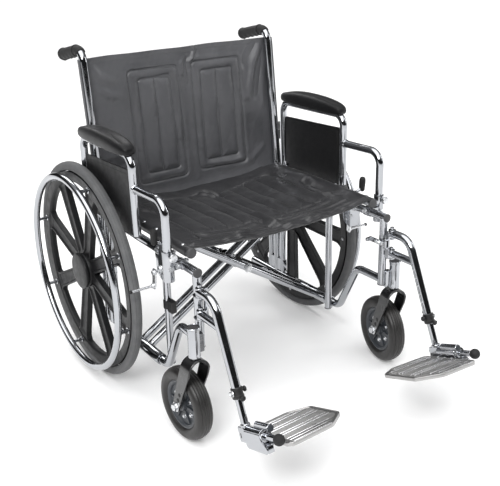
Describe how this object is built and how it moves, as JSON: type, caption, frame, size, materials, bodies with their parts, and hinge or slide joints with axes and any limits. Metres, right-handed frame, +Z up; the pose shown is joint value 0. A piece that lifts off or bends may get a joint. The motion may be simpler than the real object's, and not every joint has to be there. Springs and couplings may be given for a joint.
{
  "type": "manual wheelchair",
  "caption": "Folding manual wheelchair with wide sling seat, moulded rear wheels, desk-length armrests and swing-away footrests.",
  "frame": {"origin": "on the floor under the middle of the chair's bounding box", "axes": "+Z up, the chair faces -Y, +X is the occupant's left"},
  "size_m": [0.8168, 1.1518, 0.9061],
  "materials": {
    "chrome_tube": "bright polished tube",
    "cast_aluminium": "ribbed cast aluminium, satin",
    "steel_hardware": "zinc plated bolts, pins and levers",
    "black_plastic": "textured moulded plastic",
    "grey_wheel": "moulded composite wheel",
    "black_paint": "gloss black powder coat",
    "grey_tyre": "solid grey tyre",
    "caster_tyre": "solid dark tyre",
    "slate_hub": "moulded slate grey hub",
    "vinyl": "embossed charcoal vinyl",
    "grip_rubber": "ribbed black rubber"
  },
  "bodies": {
    "frame_left": {"side_tube_left": "chrome_tube", "front_post_left": "chrome_tube", "mid_post_left": "chrome_tube", "lower_rail_left": "chrome_tube", "rear_upright_left": "chrome_tube", "push_grip_left": "grip_rubber", "caster_housing_left": "chrome_tube", "caster_cap_left": "black_plastic", "armrest_socket_left": "chrome_tube", "wheel_axle_left": "steel_hardware", "back": "vinyl"},
    "brace_a": {"brace_leg_a": "chrome_tube", "seat_rail_right": "chrome_tube"},
    "brace_b": {"brace_leg_b": "chrome_tube", "seat_rail_left": "chrome_tube", "seat": "vinyl"},
    "frame_right": {"side_tube_right": "chrome_tube", "front_post_right": "chrome_tube", "mid_post_right": "chrome_tube", "lower_rail_right": "chrome_tube", "rear_upright_right": "chrome_tube", "push_grip_right": "grip_rubber", "caster_housing_right": "chrome_tube", "caster_cap_right": "black_plastic", "armrest_socket_right": "chrome_tube", "wheel_axle_right": "steel_hardware"},
    "wheel_right": {"rear_tyre_right": "grey_tyre", "rear_wheel_right": "grey_wheel", "handrim_right": "chrome_tube"},
    "caster_fork_right": {"caster_fork_right": "black_paint"},
    "caster_wheel_right": {"caster_tyre_right": "caster_tyre", "caster_hub_right": "slate_hub"},
    "armrest_right": {"armrest_frame_right": "chrome_tube", "arm_pad_right": "vinyl", "side_panel_right": "black_plastic"},
    "armrest_lock_right": {"armrest_lock_right": "steel_hardware"},
    "hanger_right": {"hanger_right": "chrome_tube"},
    "hanger_latch_right": {"hanger_latch_right": "steel_hardware"},
    "footrest_tube_right": {"footrest_tube_right": "chrome_tube"},
    "footplate_right": {"footplate_right": "cast_aluminium", "footplate_pin_right": "black_plastic"},
    "wheel_lock_lever_right": {"wheel_lock_lever_right": "black_paint"},
    "wheel_lock_shoe_right": {"wheel_lock_shoe_right": "steel_hardware"},
    "wheel_left": {"rear_tyre_left": "grey_tyre", "rear_wheel_left": "grey_wheel", "handrim_left": "chrome_tube"},
    "caster_fork_left": {"caster_fork_left": "black_paint"},
    "caster_wheel_left": {"caster_tyre_left": "caster_tyre", "caster_hub_left": "slate_hub"},
    "armrest_left": {"armrest_frame_left": "chrome_tube", "arm_pad_left": "vinyl", "side_panel_left": "black_plastic"},
    "armrest_lock_left": {"armrest_lock_left": "steel_hardware"},
    "hanger_left": {"hanger_left": "chrome_tube"},
    "hanger_latch_left": {"hanger_latch_left": "steel_hardware"},
    "footrest_tube_left": {"footrest_tube_left": "chrome_tube"},
    "footplate_left": {"footplate_left": "cast_aluminium", "footplate_pin_left": "black_plastic"},
    "wheel_lock_lever_left": {"wheel_lock_lever_left": "black_paint"},
    "wheel_lock_shoe_left": {"wheel_lock_shoe_left": "steel_hardware"}
  },
  "joints": [
    {"name": "fold", "type": "hinge", "parent": "frame_left", "child": "brace_a", "pos_m": [-0.291, 0.0906, 0.122], "axis": [0, -1, 0], "range_deg": [0, 45], "deforming": ["back"]},
    {"name": "brace_cross", "type": "hinge", "parent": "brace_a", "child": "brace_b", "pos_m": [0, 0.0746, 0.30552], "axis": [0, -1, 0], "range_deg": [-90, 0], "deforming": ["seat"]},
    {"name": "side_frame_right", "type": "hinge", "parent": "brace_b", "child": "frame_right", "pos_m": [0.291, 0.0906, 0.122], "axis": [0, -1, 0], "range_deg": [0, 45]},
    {"name": "rear_wheel_spin_right", "type": "hinge", "parent": "frame_right", "child": "wheel_right", "pos_m": [0.3576, 0.2706, 0.305], "axis": [1, 0, 0], "continuous": true},
    {"name": "caster_swivel_right", "type": "hinge", "parent": "frame_right", "child": "caster_fork_right", "pos_m": [0.321, -0.2419, 0.28], "axis": [0, 0, 1], "continuous": true},
    {"name": "caster_spin_right", "type": "hinge", "parent": "caster_fork_right", "child": "caster_wheel_right", "pos_m": [0.33117, -0.19192, 0.0952], "axis": [0.9799, -0.1994, 0], "continuous": true},
    {"name": "armrest_lift_right", "type": "slide", "parent": "frame_right", "child": "armrest_right", "axis": [0, 0, 1], "range_m": [0, 0.12]},
    {"name": "armrest_lock_pull_right", "type": "slide", "parent": "frame_right", "child": "armrest_lock_right", "axis": [0, -1, 0], "range_m": [0, 0.006], "stiffness_N_per_m": 400},
    {"name": "hanger_swing_right", "type": "hinge", "parent": "frame_right", "child": "hanger_right", "pos_m": [0.301, -0.2464, 0.38], "axis": [0, 0, 1], "range_deg": [0, 100]},
    {"name": "hanger_latch_release_right", "type": "hinge", "parent": "hanger_right", "child": "hanger_latch_right", "pos_m": [0.277, -0.2464, 0.386], "axis": [0, 0, 1], "range_deg": [0, 12], "stiffness_Nm_per_rad": 0.5},
    {"name": "footrest_height_right", "type": "slide", "parent": "hanger_right", "child": "footrest_tube_right", "axis": [0, -0.4008, -0.9162], "range_m": [0, 0.06]},
    {"name": "footplate_flip_right", "type": "hinge", "parent": "footrest_tube_right", "child": "footplate_right", "pos_m": [0.303, -0.4894, 0.1585], "axis": [0, 0.9336, -0.3584], "range_deg": [0, 74]},
    {"name": "wheel_lock_right", "type": "hinge", "parent": "frame_right", "child": "wheel_lock_lever_right", "pos_m": [0.31, -0.0794, 0.415], "axis": [1, 0, 0], "range_deg": [0, 26]},
    {"name": "wheel_lock_shoe_turn_right", "type": "hinge", "parent": "frame_right", "child": "wheel_lock_shoe_right", "pos_m": [0.318, -0.0594, 0.4], "axis": [1, 0, 0], "range_deg": [0, 26]},
    {"name": "rear_wheel_spin_left", "type": "hinge", "parent": "frame_left", "child": "wheel_left", "pos_m": [-0.3576, 0.2706, 0.305], "axis": [1, 0, 0], "continuous": true},
    {"name": "caster_swivel_left", "type": "hinge", "parent": "frame_left", "child": "caster_fork_left", "pos_m": [-0.321, -0.2419, 0.28], "axis": [0, 0, 1], "continuous": true},
    {"name": "caster_spin_left", "type": "hinge", "parent": "caster_fork_left", "child": "caster_wheel_left", "pos_m": [-0.32314, -0.19095, 0.0952], "axis": [0.9991, 0.0419, 0], "continuous": true},
    {"name": "armrest_lift_left", "type": "slide", "parent": "frame_left", "child": "armrest_left", "axis": [0, 0, 1], "range_m": [0, 0.12]},
    {"name": "armrest_lock_pull_left", "type": "slide", "parent": "frame_left", "child": "armrest_lock_left", "axis": [0, -1, 0], "range_m": [0, 0.006], "stiffness_N_per_m": 400},
    {"name": "hanger_swing_left", "type": "hinge", "parent": "frame_left", "child": "hanger_left", "pos_m": [-0.301, -0.2464, 0.38], "axis": [0, 0, -1], "range_deg": [0, 100]},
    {"name": "hanger_latch_release_left", "type": "hinge", "parent": "hanger_left", "child": "hanger_latch_left", "pos_m": [-0.277, -0.2464, 0.386], "axis": [0, 0, -1], "range_deg": [0, 12], "stiffness_Nm_per_rad": 0.5},
    {"name": "footrest_height_left", "type": "slide", "parent": "hanger_left", "child": "footrest_tube_left", "axis": [0, -0.4008, -0.9162], "range_m": [0, 0.06]},
    {"name": "footplate_flip_left", "type": "hinge", "parent": "footrest_tube_left", "child": "footplate_left", "pos_m": [-0.303, -0.4894, 0.1585], "axis": [0, -0.9336, 0.3584], "range_deg": [0, 74]},
    {"name": "wheel_lock_left", "type": "hinge", "parent": "frame_left", "child": "wheel_lock_lever_left", "pos_m": [-0.31, -0.0794, 0.415], "axis": [1, 0, 0], "range_deg": [0, 26]},
    {"name": "wheel_lock_shoe_turn_left", "type": "hinge", "parent": "frame_left", "child": "wheel_lock_shoe_left", "pos_m": [-0.318, -0.0594, 0.4], "axis": [1, 0, 0], "range_deg": [0, 26]}
  ],
  "couplings": [
    {"joint": "brace_cross", "follows": "fold", "ratio": -2},
    {"joint": "side_frame_right", "follows": "fold", "ratio": 1},
    {"joint": "wheel_lock_shoe_turn_right", "follows": "wheel_lock_right", "ratio": 1},
    {"joint": "footplate_flip_right", "follows": "fold", "ratio": 1.6444},
    {"joint": "wheel_lock_shoe_turn_left", "follows": "wheel_lock_left", "ratio": 1},
    {"joint": "footplate_flip_left", "follows": "fold", "ratio": 1.6444}
  ]
}
